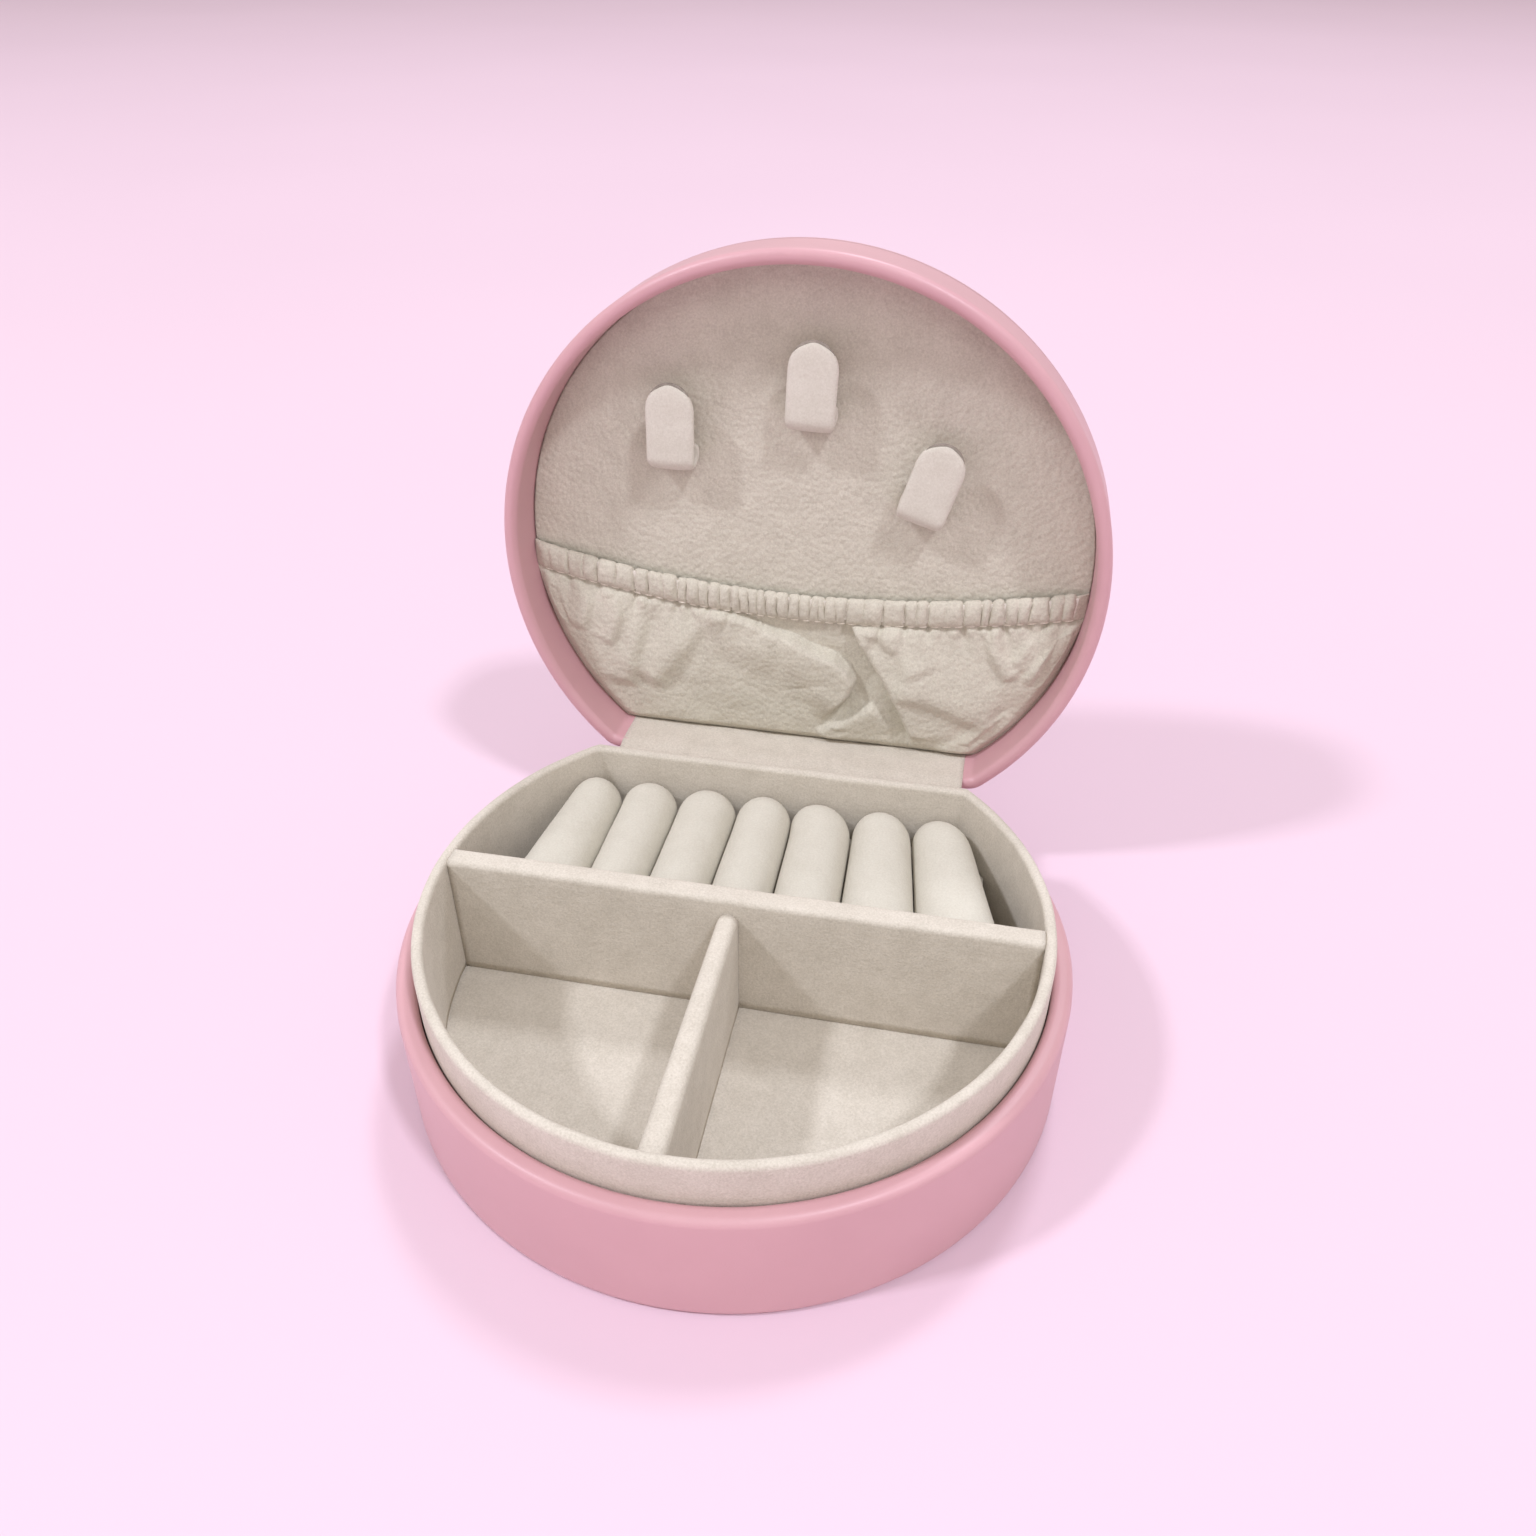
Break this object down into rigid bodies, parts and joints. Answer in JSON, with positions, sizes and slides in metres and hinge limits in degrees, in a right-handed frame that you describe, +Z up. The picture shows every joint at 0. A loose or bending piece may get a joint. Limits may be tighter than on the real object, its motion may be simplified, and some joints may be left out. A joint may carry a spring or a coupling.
{
  "type": "jewellery case",
  "caption": "Round leather jewellery case with a flat back and hinged lid: velvet lining, ring rolls, two compartments, necklace hooks and a gathered pocket.",
  "frame": {"origin": "centre of the round outline, on the face that the case rests on", "axes": "+Z up, -Y the front of the case, +Y the flat back with the hinge, X along the hinge"},
  "size_m": [0.12, 0.1329, 0.1271],
  "materials": {
    "case_leather": "satin",
    "lining_velvet": "matte",
    "greyboard": "matte",
    "foam": "matte",
    "elastic": "matte",
    "thread": "matte"
  },
  "bodies": {
    "base": {"base_bottom_leather": "case_leather", "base_bottom_board": "greyboard", "base_wall_board": "greyboard", "base_side_leather": "case_leather", "collar_board": "greyboard", "collar_velvet": "lining_velvet", "tray_floor_board": "greyboard", "tray_floor_velvet": "lining_velvet", "cross_divider_board": "greyboard", "cross_divider_velvet": "lining_velvet", "short_divider_board": "greyboard", "short_divider_velvet": "lining_velvet", "ring_bed_foam": "foam", "ring_roll_foam_1": "foam", "ring_roll_foam_2": "foam", "ring_roll_foam_3": "foam", "ring_roll_foam_4": "foam", "ring_roll_foam_5": "foam", "ring_roll_foam_6": "foam", "ring_roll_foam_7": "foam", "ring_roll_velvet_1": "lining_velvet", "ring_roll_velvet_2": "lining_velvet", "ring_roll_velvet_3": "lining_velvet", "ring_roll_velvet_4": "lining_velvet", "ring_roll_velvet_5": "lining_velvet", "ring_roll_velvet_6": "lining_velvet", "ring_roll_velvet_7": "lining_velvet", "hinge_leather": "case_leather", "hinge_velvet": "lining_velvet"},
    "lid": {"lid_wall_board": "greyboard", "lid_side_leather": "case_leather", "lid_top_leather": "case_leather", "lid_top_board": "greyboard", "lid_pad_foam": "foam", "lid_liner_board": "greyboard", "lid_liner_velvet": "lining_velvet", "pocket_velvet": "lining_velvet", "pocket_elastic": "elastic", "pocket_thread": "thread", "necklace_hook_velvet_1": "lining_velvet", "necklace_hook_velvet_2": "lining_velvet", "necklace_hook_velvet_3": "lining_velvet", "necklace_hook_core_1": "greyboard", "necklace_hook_core_2": "greyboard", "necklace_hook_core_3": "greyboard"}
  },
  "joints": [
    {"name": "lid_hinge", "type": "hinge", "parent": "base", "child": "lid", "pos_m": [0, 0.0478, 0.0198], "axis": [-1, 0, 0], "range_deg": [-93.2, 86.8], "deforming": ["hinge_leather", "hinge_velvet"]}
  ]
}
